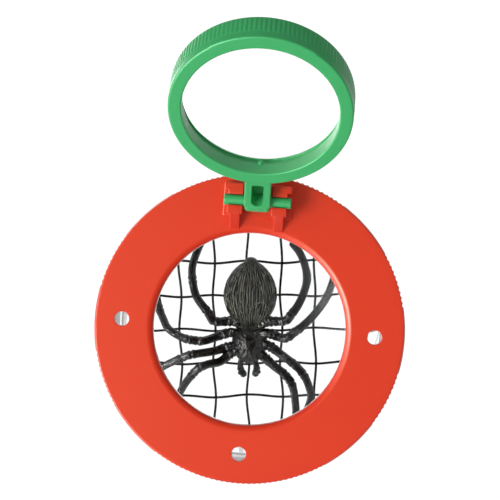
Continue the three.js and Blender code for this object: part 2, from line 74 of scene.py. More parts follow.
# Camera, set from the photograph: the lid's top centre lies this far off the camera's axis and along it
shot = dict(
    turn=-4.18,  # degrees about the view line
    nod=1.1,  # degrees tipping towards the hinge
    lean=-2.1,  # degrees tipping sideways
    aside=-0.194,
    below=-16.58,
    away=370.0,
    lens=127.72,
    sensor=36.0,
    nearest=0.01,
)


def makeCamera(s):
    data = bpy.data.cameras.new("studioCamera")
    data.lens = s["lens"]
    data.sensor_width = s["sensor"]
    data.clip_start = s["nearest"]
    camera = addObject("studioCamera", data)
    nod, lean, turn = (math.radians(s[k]) for k in ("nod", "lean", "turn"))
    toCamera = Matrix.Rotation(nod, 3, "X") @ Matrix.Rotation(lean, 3, "Y") @ Matrix.Rotation(turn, 3, "Z")
    toWorld = toCamera.transposed()
    place = toWorld @ (Vector((s["aside"], s["below"], -s["away"])) * -1) + Vector((0, 0, lidTop))
    camera.matrix_world = Matrix.Translation(place * mm) @ toWorld.to_4x4()
    scene.camera = camera


makeCamera(shot)
print("camera set")


# Mesh helpers
weldWithin = 2e-7  # metres
softCorner = math.radians(32)  # flatter corners than this are shaded as curves


# Equal steps all the way round.
def roundAngles(count):
    return np.arange(count) * 2 * math.pi / count


# Faces between neighbouring points of a grid. Each row closes on itself, and so do the columns where asked.
def gridFaces(rows, cols, wrapRows):
    a, b = np.meshgrid(np.arange(rows if wrapRows else rows - 1), np.arange(cols), indexing="ij")
    nextA, nextB = (a + 1) % rows, (b + 1) % cols
    quads = np.stack([a * cols + b, a * cols + nextB, nextA * cols + nextB, nextA * cols + b], -1)
    return quads.reshape(-1, 4)


# Merges doubled points at poles and turns every face outwards, by the sign of the volume.
def mend(mesh):
    work = bmesh.new()
    work.from_mesh(mesh)
    bmesh.ops.remove_doubles(work, verts=work.verts, dist=weldWithin)
    if work.calc_volume(signed=True) < 0:
        bmesh.ops.reverse_faces(work, faces=work.faces)
    work.to_mesh(mesh)
    work.free()


def smooth(piece):
    piece.data.shade_smooth()
    piece.data.set_sharp_from_angle(angle=softCorner)
    return piece


def fromGrid(name, points, wrapRows=False):
    rows, cols = points.shape[:2]
    mesh = bpy.data.meshes.new(name)
    faces = gridFaces(rows, cols, wrapRows)
    mesh.from_pydata((points.reshape(-1, 3) * mm).tolist(), [], faces.tolist())
    mend(mesh)
    return smooth(addObject(name, mesh))


# Several grids in one mesh, each a closed form of its own.
def fromGrids(name, grids):
    work = bmesh.new()
    for grid in grids:
        part = fromGrid(name + "Part", grid)
        work.from_mesh(part.data)
        bpy.data.objects.remove(part)
    mesh = bpy.data.meshes.new(name)
    work.to_mesh(mesh)
    work.free()
    return smooth(addObject(name, mesh))


# Keeps a piece's shape as its modifiers leave it.
def settle(piece):
    bpy.context.view_layer.update()
    shaped = piece.evaluated_get(bpy.context.evaluated_depsgraph_get())
    mesh = bpy.data.meshes.new_from_object(shaped)
    piece.modifiers.clear()
    piece.data = mesh
    return piece


def combine(piece, tool, how="UNION"):
    step = piece.modifiers.new(how, "BOOLEAN")
    step.operation = how
    step.object = tool
    step.solver = "EXACT"
    settle(piece)
    bpy.data.objects.remove(tool)
    return smooth(piece)


# An outline with rounded corners. Each corner (x, y, radius) is cut back along both sides by the radius over
# the tangent of half its angle and bridged by an arc about the centre that lies on the corner's bisector.
def rounded(corners, arcSteps=6, closed=True):
    count = len(corners)
    points = []
    for i, (x, y, radius) in enumerate(corners):
        here = np.array([x, y], float)
        if radius == 0 or (not closed and i in (0, count - 1)):
            points.append(here)
            continue
        before = np.array(corners[i - 1][:2], float) - here
        after = np.array(corners[(i + 1) % count][:2], float) - here
        before, after = before / np.linalg.norm(before), after / np.linalg.norm(after)
        half = math.acos(np.clip(before @ after, -1, 1)) / 2
        bisector = (before + after) / np.linalg.norm(before + after)
        centre = here + bisector * radius / math.sin(half)
        start = here + before * radius / math.tan(half) - centre
        end = here + after * radius / math.tan(half) - centre
        share = np.linspace(0, 1, arcSteps + 1)[:, None]
        turn = math.pi - 2 * half
        arc = (np.sin((1 - share) * turn) * start + np.sin(share * turn) * end) / math.sin(turn)
        points.extend(centre + arc)
    return np.array(points)


# A surface of revolution: the outline point (r, z) goes to ((r + swell) cos a, (r + swell) sin a, z) at each
# angle a, where swell may change from row to row and round the turn.
def spun(outline, turns, swell=0.0):
    angle = roundAngles(turns)
    radius = outline[:, :1] + swell
    height = np.broadcast_to(outline[:, 1:], (len(outline), turns))
    return np.stack([radius * np.cos(angle), radius * np.sin(angle), height], -1)


# A flat outline (y, z) carried along X from one place to another, closed by flat ends, with softened edges.
def softPrism(name, outline, fromX, toX, edge, sharpDegrees=30):
    count = len(outline)
    mesh = bpy.data.meshes.new(name)
    ends = [np.column_stack([np.full(count, x), outline]) for x in (fromX, toX)]
    faces = gridFaces(2, count, False).tolist()
    faces += [list(range(count))[::-1], list(range(count, 2 * count))]
    mesh.from_pydata((np.concatenate(ends) * mm).tolist(), [], faces)
    mend(mesh)
    piece = addObject(name, mesh)
    step = piece.modifiers.new("softEdges", "BEVEL")
    step.width = edge * mm
    step.segments = 3
    step.limit_method = "ANGLE"
    step.angle_limit = math.radians(sharpDegrees)
    return smooth(settle(piece))


# Lets the large flat faces decide how light falls next to them.
def firm(piece):
    step = piece.modifiers.new("firmNormals", "WEIGHTED_NORMAL")
    step.keep_sharp = True
    return settle(piece)


def moved(piece, matrix):
    piece.data.transform(matrix)
    return piece


def shift(x, y, z):
    return Matrix.Translation(Vector((x, y, z)) * mm)


# A ramp from 0 to 1 that leaves and arrives level: t squared times (3 - 2 t).
def ease(value, low, high):
    t = np.clip((value - low) / (high - low), 0, 1)
    return t * t * (3 - 2 * t)


# How far each angle in degrees lies from a middle, the short way round.
def degreesFrom(angle, middle):
    return np.abs((angle - middle + 180) % 360 - 180)


# Lid
lid = dict(
    radius=32.5,
    plate=2.0,
    rimRound=0.25,
    skirtChamfer=0.4,
    skirtBore=29.9,
    toothHeight=0.22,
    teeth=180,
    pointsPerTooth=6,
    toothFade=0.5,
    landMiddles=(0, 45, 135, 180, 225, 315),
    landHalf=11.5,
    landFade=1.2,
    bottomRound=0.15,
    boreRound=0.2,
    innerRound=0.5,
    arcSteps=5,
    windowRadius=20.1,
    windowRound=1.3,
    windowLip=1.7,
    windowEdge=0.15,
    ventRadius=1.53,
    ventCircle=26.46,
    vents=(0, 180, 270),
    ventRim=0.12,
    ventAside=-0.28,
    ventBack=0.27,
    ventSides=48,
    cupWall=1.4,
    cupRound=0.25,
    cupBead=0.5,
    cupBeadHeight=0.6,
    cupBeadRound=0.1,
)
lens = dict(land=1.1, edge=1.6, curve=129.5, chamfer=0.05)
snap = dict(
    tabWidth=5.4,
    pinRadius=1.15,
    gap=2.1,
    flare=0.5,
    width=3.1,
    front=2.9,
    back=3.4,
    head=1.1,
    backJawWidth=3.9,
    gussetWidth=2.0,
    gussetReach=3.2,
    gussetDrop=0.9,
    gussetRoot=0.4,  # how far it runs into the jaws
    sunk=0.6,  # how far the brackets run into the lid's plate
    plateThickness=0.4,
    plateEdge=0.3,
    plateHalfWidth=7.3,
    plateFront=3.5,
    stopWall=1.2,
    knuckle=2.2,
    edge=0.16,
)
cupRadius = lid["windowRadius"] + lens["land"] + fitGap
windowSeat = lidTop - lid["windowLip"]
lidLensTop = windowSeat - fitGap
cupBottom = lidLensTop - lens["edge"] - fitGap - lid["cupBeadHeight"]
bracketBase = -hingeHeight - snap["sunk"]
onOutline = 1e-6  # points this near to a wall's radius lie on it
overcut = 1.0  # how far cutting tools stand out of what they cut


# Raised cosines round the turn, from 0 to 1.
def ridges(degrees, count):
    return 0.5 + 0.5 * np.cos(np.radians(degrees * count))


# Grip teeth: a ridge at each tooth, held at full height across the plain lands.
def toothSwell(s, heights, onWall, turns):
    degrees = np.arange(turns) * 360 / turns
    ridge = ridges(degrees, s["teeth"])
    land = np.zeros(turns)
    for middle in s["landMiddles"]:
        away = degreesFrom(degrees, middle)
        land = np.maximum(land, 1 - ease(away, s["landHalf"], s["landHalf"] + s["landFade"]))
    ridge = np.maximum(ridge, land)
    low = lidBottom + s["skirtChamfer"]
    high = lidTop - s["rimRound"]
    fade = ease(heights, low, low + s["toothFade"]) * (1 - ease(heights, high - s["toothFade"], high))
    return s["toothHeight"] * (fade * onWall)[:, None] * ridge[None, :]


def lidShell(s):
    root, window, bore = s["radius"] - s["toothHeight"], s["windowRadius"], s["skirtBore"]
    plateBottom = lidTop - s["plate"]
    cupOuter, bead, beadRound = cupRadius + s["cupWall"], cupRadius - s["cupBead"], s["cupBeadRound"]
    low, high = lidBottom + s["skirtChamfer"], lidTop - s["rimRound"]
    fadeSteps = np.linspace(0, s["toothFade"], 5)
    wall = [(root, z, 0) for z in (*(low + fadeSteps), *(high - fadeSteps[::-1]))]
    corners = [
        (window, windowSeat, s["windowEdge"]),
        (window, lidTop, s["windowRound"]),
        (window + s["windowRound"] + holdRow, lidTop, 0),
        (root - s["rimRound"] - holdRow, lidTop, 0),
        (root, lidTop, s["rimRound"]),
        *wall[::-1],
        (root - s["skirtChamfer"], lidBottom, s["bottomRound"]),
        (bore, lidBottom, s["boreRound"]),
        (bore, plateBottom, s["innerRound"]),
        (cupOuter, plateBottom, s["innerRound"]),
        (cupOuter, cupBottom, s["cupRound"]),
        (bead, cupBottom, beadRound),
        (bead, cupBottom + s["cupBeadHeight"] / 2, beadRound),
        (cupRadius, cupBottom + s["cupBeadHeight"], beadRound),
        (cupRadius, windowSeat, beadRound),
    ]
    outline = rounded(corners, s["arcSteps"])
    turns = s["teeth"] * s["pointsPerTooth"]
    onWall = (outline[:, 0] > root - onOutline).astype(float)
    return spun(outline, turns, toothSwell(s, outline[:, 1], onWall, turns))


def ventTool(s, degrees):
    low, high = lidTop - s["plate"] - overcut, lidTop + overcut
    inner, outer = s["ventRadius"], s["ventRadius"] + s["ventRim"]
    outline = np.array([
        (0, low), (inner, low), (inner, lidTop - s["ventRim"]), (outer, lidTop), (outer, high), (0, high),
    ])
    tool = fromGrid("ventTool", spun(outline, s["ventSides"]))
    angle = math.radians(degrees)
    across, back = s["ventCircle"] * math.cos(angle), s["ventCircle"] * math.sin(angle)
    return moved(tool, shift(across + s["ventAside"], back + s["ventBack"], 0))


# The side outline of a bracket: a round seat for the pin below a narrower mouth with flared lips.
def bracketOutline(h):
    front, back, head = -h["front"], h["back"], h["head"]
    seat = h["pinRadius"] + fitGap
    mouth = math.asin(h["gap"] / 2 / seat)
    angles = np.linspace(math.pi / 2 - mouth, -1.5 * math.pi + mouth, 28)
    flare = h["gap"] / 2 + h["flare"]
    circle = np.column_stack([seat * np.cos(angles), seat * np.sin(angles)])
    return np.array([(front, bracketBase), (back, bracketBase), (back, head), (flare, head), *circle,
                     (-flare, head), (front, head)])


def makeBracket(h):
    base, head = bracketBase, h["head"]
    inner = h["tabWidth"] / 2 + fitGap
    middle = inner + h["width"] / 2
    jaws = softPrism("jaws", bracketOutline(h), inner, inner + h["width"], h["edge"])
    seatEdge = h["pinRadius"] + fitGap + h["flare"]
    back = np.array([(seatEdge, base), (h["back"], base), (h["back"], head), (seatEdge, head)])
    backJaw = softPrism("backJaw", back, middle, inner + h["backJawWidth"], h["edge"])
    front = -h["front"]
    root, foot = front + h["gussetRoot"], front - h["gussetReach"]
    side = np.array([
        (root, base), (root, -h["gussetDrop"]), (front, -h["gussetDrop"]), (foot, -hingeHeight), (foot, base),
    ])
    half = h["gussetWidth"] / 2
    gusset = softPrism("gusset", side, middle - half, middle + half, h["edge"])
    combine(jaws, backJaw)
    return combine(jaws, gusset)


def makeStop(h):
    lean = math.pi - openAngle
    front = h["back"] - h["stopWall"]
    reach = (front - h["knuckle"] * math.sin(lean)) / math.cos(lean)
    height = reach * math.sin(lean) - h["knuckle"] * math.cos(lean) - fitGap / math.cos(lean)
    outline = np.array([(front, bracketBase), (h["back"], bracketBase), (h["back"], height), (front, height)])
    half = h["tabWidth"] / 2 + 2 * fitGap
    return softPrism("stopWall", outline, -half, half, h["edge"])


def makeHingePlate(h):
    front, back, top = -h["plateFront"], h["back"], -hingeHeight + h["plateThickness"]
    outline = np.array([(front, bracketBase), (back, bracketBase), (back, top), (front, top)])
    return softPrism("hingePlate", outline, -h["plateHalfWidth"], h["plateHalfWidth"], h["plateEdge"])


def makeLid(s, h):
    piece = fromGrid("lidShell", lidShell(s), wrapRows=True)
    right = makeBracket(h)
    left = makeBracket(h)
    left.data.transform(Matrix.Scale(-1, 4, Vector((1, 0, 0))))
    mend(left.data)
    combine(right, left)
    combine(right, makeStop(h))
    combine(right, makeHingePlate(h))
    combine(piece, moved(right, shift(*hingeAt)))
    for degrees in s["vents"]:
        combine(piece, ventTool(s, degrees), "DIFFERENCE")
    return firm(piece)


lidPiece = makeLid(lid, snap)
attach(lidPiece, "lid")
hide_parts("lid_cap")
print("lid made", len(lidPiece.data.polygons))


# Flip-up frame, worked out shut about the pins' axis and then turned open
flip = dict(
    radius=18.15,
    depth=6.8,
    bore=15.4,
    boreRound=0.3,
    faceRound=0.37,
    backRound=0.3,
    seatWall=1.4,
    seatDepth=1.45,
    groove=0.7,
    grooveStart=3.3,
    seatLip=0.45,
    seatLipInset=0.4,
    seatRounds=(0.12, 0.1, 0.08),
    arcSteps=7,
    ribHeight=0.1,
    ribs=124,
    pointsPerRib=8,
    ribStart=2.1,
    ribFade=0.5,
    ribEnds=(0.6, 0.52, 0.45, 0.38),  # rows before the back where the ribs die away
    lipReach=0.15,
    lipThickness=1.1,
    lipStep=0.25,
    lipMiddle=270,
    lipHalf=36,
    lipEnd=4,
    pipRadius=0.5,
    pipReach=0.45,
    pipRoot=0.6,
    pipRound=0.2,
    pipAside=0.3,
    pipDepth=3.3,
    tabRoot=0.6,  # how far the tab runs into the ring
    tabEdge=0.28,
    tabSlot=2.3,
    tabSlotStart=0.6,
    tabSlotSkin=0.6,
    tabSlotEndWall=3.0,
    tabSlotCorner=0.3,
    tabSlotFlare=0.1,
    tabSlotLip=0.02,
    barrelRound=0.9,
    pinHalfSpan=6.9,
    pinRound=0.18,
    faceLift=0.525,  # the face lies this far above the lid when the frame is shut
)
flipDisc = dict(land=1.0, edge=1.0, curve=82.0, chamfer=0.05)
hingeReach = hingeAt[1]
ribRoot = flip["radius"] - flip["ribHeight"]
faceAt = -(hingeHeight - flip["faceLift"])
opened = shift(*hingeAt) @ Matrix.Rotation(-openAngle, 4, "X")


# Ribs are raised cosines round the wall that fade in past the face's rounding, and the finger lip pushes the
# face's outer edge out over its own stretch of the rim, dying away at both ends.
def flipSwell(s, outline, turns):
    degrees = np.arange(turns) * 360 / turns
    depth = outline[:, 1] - faceAt
    outside = (outline[:, 0] > ribRoot - s["faceRound"] - onOutline).astype(float)
    wall = (outline[:, 0] > ribRoot - onOutline).astype(float)
    ridge = ridges(degrees, s["ribs"])
    fade = ease(depth, s["ribStart"], s["ribStart"] + s["ribFade"]) * wall
    fade = fade * (1 - ease(depth, s["depth"] - 2 * s["backRound"], s["depth"] - s["backRound"]))
    ends = 1 - ease(degreesFrom(degrees, s["lipMiddle"]), s["lipHalf"] - s["lipEnd"], s["lipHalf"])
    shelf = outside * (1 - ease(depth, s["lipThickness"], s["lipThickness"] + s["lipStep"]))
    return s["ribHeight"] * fade[:, None] * ridge + s["lipReach"] * shelf[:, None] * ends


def flipRing(s):
    back = faceAt + s["depth"]
    seat = back - s["seatDepth"]
    seatRadius = ribRoot - s["seatWall"]
    starts = faceAt + s["ribStart"] + np.linspace(0, s["ribFade"], 6)
    stops = back - np.array(s["ribEnds"])
    outerRound, seatRound, innerRound = s["seatRounds"]
    lip, groove = s["bore"] + s["seatLipInset"], s["bore"] + s["groove"]
    grooveStart = faceAt + s["grooveStart"]
    corners = [
        (s["bore"], faceAt, s["boreRound"]),
        (s["bore"] + s["boreRound"] + holdRow, faceAt, 0),
        (ribRoot - s["faceRound"] - holdRow, faceAt, 0),
        (ribRoot, faceAt, s["faceRound"]),
        (ribRoot, faceAt + s["faceRound"] + holdRow, 0),
        *[(ribRoot, z, 0) for z in (*starts, *stops)],
        (ribRoot, back, s["backRound"]),
        (seatRadius, back, outerRound),
        (seatRadius, seat, seatRound),
        (lip, seat, innerRound),
        (lip, seat - s["seatLip"], innerRound),
        (groove, seat - s["seatLip"], innerRound),
        (groove, grooveStart, innerRound),
        (s["bore"], grooveStart, outerRound),
        (s["bore"], faceAt + s["boreRound"] + holdRow, 0),
    ]
    outline = rounded(corners, s["arcSteps"])
    turns = s["ribs"] * s["pointsPerRib"]
    return spun(outline, turns, flipSwell(s, outline, turns))


# A round rod along X: rows are rings, and a quarter circle rounds each end.
def rodAlongX(radius, fromX, toX, endRound, sides=40):
    share = np.linspace(0, math.pi / 2, 6)
    inward, drawn = endRound * (1 - np.sin(share)), radius - endRound * (1 - np.cos(share))
    left = np.column_stack([fromX + inward, drawn])[::-1]
    right = np.column_stack([toX - inward, drawn])
    path = np.concatenate([[(fromX, 0)], left, right, [(toX, 0)]])
    angle = roundAngles(sides)
    x = np.broadcast_to(path[:, :1], (len(path), sides))
    return np.stack([x, path[:, 1:] * np.cos(angle), path[:, 1:] * np.sin(angle)], -1)


# The slot's tool: a nose of half a circle, two cut corners at the other end, and a mouth that flares.
def slotGrid(s, wall, knuckle):
    half, corner = s["tabSlot"] / 2, s["tabSlotCorner"]
    across = np.linspace(0, math.pi, 20)
    nose = np.column_stack([half * np.cos(across), -s["tabSlotStart"] - half + half * np.sin(across)])
    end = -wall + s["tabSlotEndWall"]
    shape = np.array([*nose, (-half, end + corner), (-half + corner, end), (half - corner, end),
                      (half, end + corner)])
    centre = shape.mean(axis=0)
    top, flare = -knuckle, s["tabSlotFlare"]
    mouth = [(flare, top - overcut), (flare, top + s["tabSlotLip"]), (0, top + corner),
             (0, knuckle - s["tabSlotSkin"])]
    rings = [np.column_stack([centre + (shape - centre) * (1 + wider), np.full(len(shape), z)])
             for wider, z in mouth]
    first, last = (np.broadcast_to(rings[i].mean(axis=0), rings[i].shape) for i in (0, -1))
    return np.stack([first, *rings, last])


def makeTab(s, h):
    wall = hingeReach - ribRoot
    knuckle, half = h["knuckle"], h["tabWidth"] / 2
    end = -wall - s["tabRoot"]
    outline = np.array([(0, -knuckle), (0, knuckle), (end, knuckle - fitGap), (end, -knuckle)])
    tab = softPrism("tab", outline, -half, half, s["tabEdge"], sharpDegrees=40)
    combine(tab, fromGrid("barrel", rodAlongX(knuckle, -half, half, s["barrelRound"])))
    return combine(tab, fromGrid("slotTool", slotGrid(s, wall, knuckle)), "DIFFERENCE")


def makeFlipFrame(s, h):
    piece = fromGrid("flipFrameShell", flipRing(s), wrapRows=True)
    moved(piece, shift(0, -hingeReach, 0))
    tab = makeTab(s, h)
    start = (s["tabSlot"] + h["tabWidth"]) / 4
    for sign in (1, -1):
        ends = sorted((sign * start, sign * s["pinHalfSpan"]))
        combine(tab, fromGrid("pin", rodAlongX(h["pinRadius"], *ends, s["pinRound"])))
    combine(piece, tab)
    pip = fromGrid("pip", rodAlongX(s["pipRadius"], -s["pipReach"], s["pipRoot"], s["pipRound"], sides=24))
    inBore = shift(s["pipAside"], -hingeReach + s["bore"], faceAt + s["pipDepth"])
    combine(piece, moved(pip, inBore @ Matrix.Rotation(math.pi / 2, 4, "Z")))
    return firm(moved(piece, opened))


flipPiece = makeFlipFrame(flip, snap)
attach(flipPiece, "frame")
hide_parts("flip_frame")
print("flip frame made", len(flipPiece.data.polygons))


# Lenses: two spherical faces of one radius meeting a flat rim, z = sqrt(R^2 - r^2) less its value at the land
def lensOutline(radius, s, rimTop):
    dome = radius - s["land"]
    r = dome * np.sin(np.linspace(0, math.pi / 2, 40))
    rise = np.sqrt(s["curve"] ** 2 - r ** 2) - math.sqrt(s["curve"] ** 2 - dome ** 2)
    cut, rimBottom = s["chamfer"], rimTop - s["edge"]
    top = np.column_stack([r, rimTop + rise])
    bottom = np.column_stack([r, rimBottom - rise])
    rim = np.array([(radius - cut, rimTop), (radius, rimTop - cut), (radius, rimBottom + cut),
                    (radius - cut, rimBottom)])
    return np.concatenate([bottom, rim[::-1], top[::-1]])


def makeLens(name, radius, s, rimTop):
    return fromGrid(name, spun(lensOutline(radius, s, rimTop), 160))


lidLensPiece = makeLens("lidLens", lid["windowRadius"] + lens["land"], lens, lidLensTop)
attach(lidLensPiece, "lid")
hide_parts("lid_lens")

flipLensRadius = ribRoot - flip["seatWall"] - fitGap
flipLensTop = faceAt + flip["depth"] - flip["seatDepth"] + fitGap + flipDisc["edge"]
flipLensPiece = makeLens("flipLens", flipLensRadius, flipDisc, flipLensTop)
moved(flipLensPiece, opened @ shift(0, -hingeReach, 0))
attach(flipLensPiece, "frame")
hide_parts("flip_lens")
print("lenses made")


# Jar: a thin tapered wall with a flange under the lid, a neck inside it and a flat floor
jar = dict(
    mouth=28.3,
    floorRadius=25.6,
    wall=1.4,
    neckWall=1.3,
    floor=1.8,
    height=61.0,
    footRound=1.2,
    innerRound=2.4,
    lipRound=0.5,
    flangeReach=1.9,
    flangeThickness=1.4,
    flangeRound=0.45,  # as a share of its thickness
    underRound=0.3,
    neckRound=0.2,
)


# The bore widens evenly from the floor to the mouth.
def jarBore(s, z):
    return s["floorRadius"] + (s["mouth"] - s["floorRadius"]) * (z - s["floor"]) / (s["height"] - s["floor"])


def jarOutline(s):
    foot = jarBore(s, 0) + s["wall"]
    neck = s["mouth"] + s["neckWall"]
    flangeTop = lidBottom - fitGap
    flangeBottom = flangeTop - s["flangeThickness"]
    flange = neck + s["flangeReach"]
    flangeRound = s["flangeThickness"] * s["flangeRound"]
    corners = [
        (0, 0, 0),
        (foot - s["footRound"] - holdRow, 0, 0),
        (foot, 0, s["footRound"]),
        (jarBore(s, flangeBottom) + s["wall"], flangeBottom, s["underRound"]),
        (flange, flangeBottom, flangeRound),
        (flange, flangeTop, flangeRound),
        (neck, flangeTop, s["neckRound"]),
        (neck, s["height"], s["lipRound"]),
        (s["mouth"], s["height"], s["lipRound"]),
        (s["floorRadius"], s["floor"], s["innerRound"]),
        (s["floorRadius"] - s["innerRound"] - holdRow, s["floor"], 0),
        (0, s["floor"], 0),
    ]
    return rounded(corners, arcSteps=8, closed=False)


jarPiece = fromGrid("jarShell", spun(jarOutline(jar), 256))
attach(jarPiece, "jar")
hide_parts("jar_body")
print("jar made")


# Squared grid on the floor
net = dict(
    pitch=5.0,
    most=5,  # strands on each side of the middle one
    strand=0.35,
    hoop=0.8,
    hoopRound=0.1,
    wander=0.18,
    waver=0.05,
    turn=4.6,
    aside=-2.42,
    back=1.25,
    points=90,
    sides=8,
)
gridLow, gridHigh = nodeBox("floor_grid")
netRadius = (gridHigh[0] - gridLow[0]) / 2
netMiddle = (gridHigh[2] + gridLow[2]) / 2


# A tube: at each path point a ring of points lies across the path, at radius times (cos k, sin k) along the
# sideways and upward directions.
def tube(path, radius, sides):
    along = np.gradient(path, axis=0)
    along /= np.linalg.norm(along, axis=1, keepdims=True)
    across = np.cross([0.0, 0.0, 1.0], along)
    across /= np.linalg.norm(across, axis=1, keepdims=True)
    up = np.cross(along, across)
    angle = roundAngles(sides)
    ring = np.cos(angle)[None, :, None] * across[:, None] + np.sin(angle)[None, :, None] * up[:, None]
    return path[:, None] + radius[:, None, None] * ring


# A strand sways to and fro from crossing to crossing and wavers at random. Its ends shrink to points.
def strandGrid(s, index, upright):
    own, other = (s["aside"], s["back"]) if upright else (s["back"], s["aside"])
    place = index * s["pitch"] + own
    reach = math.sqrt((netRadius - s["hoop"] / 2) ** 2 - place ** 2)
    along = np.linspace(-reach, reach, s["points"])
    knots = np.arange(-s["most"] - 1, s["most"] + 2) * s["pitch"]
    jog = rng.normal(0, s["waver"], len(knots))
    crossings = (along - other) / s["pitch"] + index
    aside = s["wander"] * np.cos(math.pi * crossings) + np.interp(along, knots, jog)
    across = (place + aside, along) if upright else (along, place - aside)
    radius = np.full_like(along, s["strand"] / 2)
    radius[[0, -1]] = 0
    return tube(np.stack([*across, np.full_like(along, netMiddle)], -1), radius, s["sides"])


def makeNet(s):
    inner = netRadius - s["hoop"]
    places = range(-s["most"], s["most"] + 1)
    columns = [i for i in places if abs(i * s["pitch"] + s["aside"]) < inner]
    rows = [i for i in places if abs(i * s["pitch"] + s["back"]) < inner]
    piece = fromGrids("squaredNet", [strandGrid(s, i, True) for i in columns])
    across = fromGrids("strandsAcross", [strandGrid(s, i, False) for i in rows])
    half = (gridHigh[2] - gridLow[2]) / 2
    low, high, edge = netMiddle - half, netMiddle + half, s["hoopRound"]
    ring = rounded([(netRadius, low, edge), (netRadius, high, edge), (inner, high, edge), (inner, low, edge)],
                   arcSteps=3)
    hoop = fromGrid("hoop", spun(ring, 160), wrapRows=True)
    combine(piece, across)
    combine(piece, hoop)
    return moved(piece, Matrix.Rotation(math.radians(s["turn"]), 4, "Z"))


netPiece = makeNet(net)
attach(netPiece, "jar")
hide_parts("floor_grid")
print("net made", len(netPiece.data.polygons))


# Toy spider
spider = dict(
    reach=18.0,
    turn=3.1,
    aside=-1.7,
    back=-3.7,
    abdomen=(8.35, 10.2, 6.6),  # width, length and height, as for the chest and the tail
    abdomenBack=5.6,
    abdomenScale=0.975,
    hairs=44,
    hairSwell=0.035,
    chest=(5.5, 6.3, 3.6),
    chestRise=2.3,
    chestForward=2.1,
    chestGrooves=15,
    grooveDepth=0.12,
    grooveStarts=(0.15, 0.5),  # where the grooves fade in and out, as shares of the way to the edge
    grooveEnds=(0.75, 1.0),
    leg=1.35,
    legTip=1.0,
    knuckle=0.28,
    knuckleSpread=0.5,
    notch=0.34,
    notchSpread=0.17,
    ridges=6,
    ridgeDepth=0.06,
    beads=(0.1, 0.36),  # small knobs where each leg leaves the chest, in knots past its second one
    arch=2.4,
    tipRound=0.015,  # as a share of the limb's length
    legRows=200,
    palp=0.85,
    palpJoints=(0.6, 0.8),
    palpRows=60,
    tail=(2.1, 1.6, 2.1),
    tailReach=0.4,
)
ground = nodeBox("toy_spider")[0][2]
# Routes of the legs from the chest outwards, in thousandths of the reach
legRoutes = [
    [(-50, 0), (-135, 68), (-300, 68), (-366, 151), (-462, 278), (-496, 416), (-496, 526), (-452, 647),
     (-388, 767)],
    [(-50, -70), (-162, -28), (-378, -99), (-477, -99), (-576, -77), (-688, -12), (-731, 62), (-770, 167),
     (-795, 320)],
    [(-50, -140), (-162, -148), (-300, -188), (-422, -210), (-510, -227), (-588, -260), (-715, -326),
     (-845, -420)],
    [(-50, -180), (-146, -198), (-245, -276), (-355, -304), (-433, -342), (-499, -415), (-560, -508),
     (-630, -668)],
    [(50, 0), (148, 68), (303, 84), (359, 145), (414, 223), (458, 333), (477, 438), (453, 538), (402, 636),
     (320, 720)],
    [(50, -70), (154, -28), (303, -66), (402, 0), (441, 29), (524, 112), (596, 206), (646, 305),
     (690, 470)],
    [(50, -140), (160, -132), (281, -210), (359, -265), (425, -321), (480, -397), (513, -486), (520, -570),
     (470, -700)],
    [(50, -180), (127, -231), (220, -309), (303, -370), (359, -436), (381, -497), (392, -575), (397, -679),
     (390, -800)],
]
# Where each leg's joints lie, as shares of its route
legJointShares = [
    (0.25, 0.375, 0.625), (0.323, 0.435, 0.863), (0.543, 0.7), (0.536, 0.671),
    (0.222, 0.333, 0.678), (0.275, 0.388, 0.85), (0.431, 0.588), (0.388, 0.525),
]
palpRoutes = [
    [(-50, -200), (-75, -300), (-65, -363), (-42, -392)],
    [(30, -200), (58, -300), (63, -354), (45, -387)],
]


# A smooth path through knots: a cubic through each pair with end slopes half the span of their neighbours.
# Also gives how far along the path, in its own units, the marks lie that are named as shares of the route.
def throughKnots(knots, count, marks, steps=400):
    slopes = np.gradient(knots, axis=0)
    t = np.linspace(0, len(knots) - 1, steps)
    i = np.minimum(t.astype(int), len(knots) - 2)
    u = (t - i)[:, None]
    a, b, c, d = knots[i], knots[i + 1], slopes[i], slopes[i + 1]
    path = ((2 * u**3 - 3 * u**2 + 1) * a + (u**3 - 2 * u**2 + u) * c
            + (3 * u**2 - 2 * u**3) * b + (u**3 - u**2) * d)
    length = np.concatenate([[0], np.cumsum(np.linalg.norm(np.diff(path, axis=0), axis=1))])
    even = np.linspace(0, length[-1], count)
    places = np.interp(np.asarray(marks) * (len(knots) - 1), t, length)
    return np.stack([np.interp(even, length, path[:, k]) for k in range(path.shape[1])], -1), even, places


# A leg or palp: at each joint it swells by a bell curve and is pinched by a narrower one. Ridges run along
# it. A quarter of an ellipse rounds off its tip.
def limbGrid(s, route, thickness, tip, arch, joints, count, sides=24):
    knots = np.array(route) / 1000 * s["reach"]
    t = np.linspace(0, 1, len(route))
    height = ground + s["chestRise"] * (1 - t) + arch * np.sin(math.pi * t) + tip / 2 * t
    path, along, places = throughKnots(np.column_stack([knots, height]), count, joints)
    run = along / along[-1]
    width = thickness + (tip - thickness) * run
    for place in places:
        near = np.abs(along - place)
        width += s["knuckle"] * np.exp(-(near / s["knuckleSpread"]) ** 2)
        width -= s["notch"] * np.exp(-(near / s["notchSpread"]) ** 2)
    inTip = (run - (1 - s["tipRound"])) / s["tipRound"]
    radius = width / 2 * np.sqrt(np.clip(1 - inTip.clip(0) ** 2, 0, 1))
    radius[[0, -1]] = 0
    points = tube(path, radius, sides)
    ridge = np.cos(roundAngles(sides) * s["ridges"])[None, :, None]
    return points + (points - path[:, None]) * ridge * s["ridgeDepth"]


# An egg's angles: v runs from its back pole to its front one, and a round its long axis.
def eggAngles(rows, cols):
    return np.linspace(0, math.pi, rows)[:, None], roundAngles(cols)[None, :]


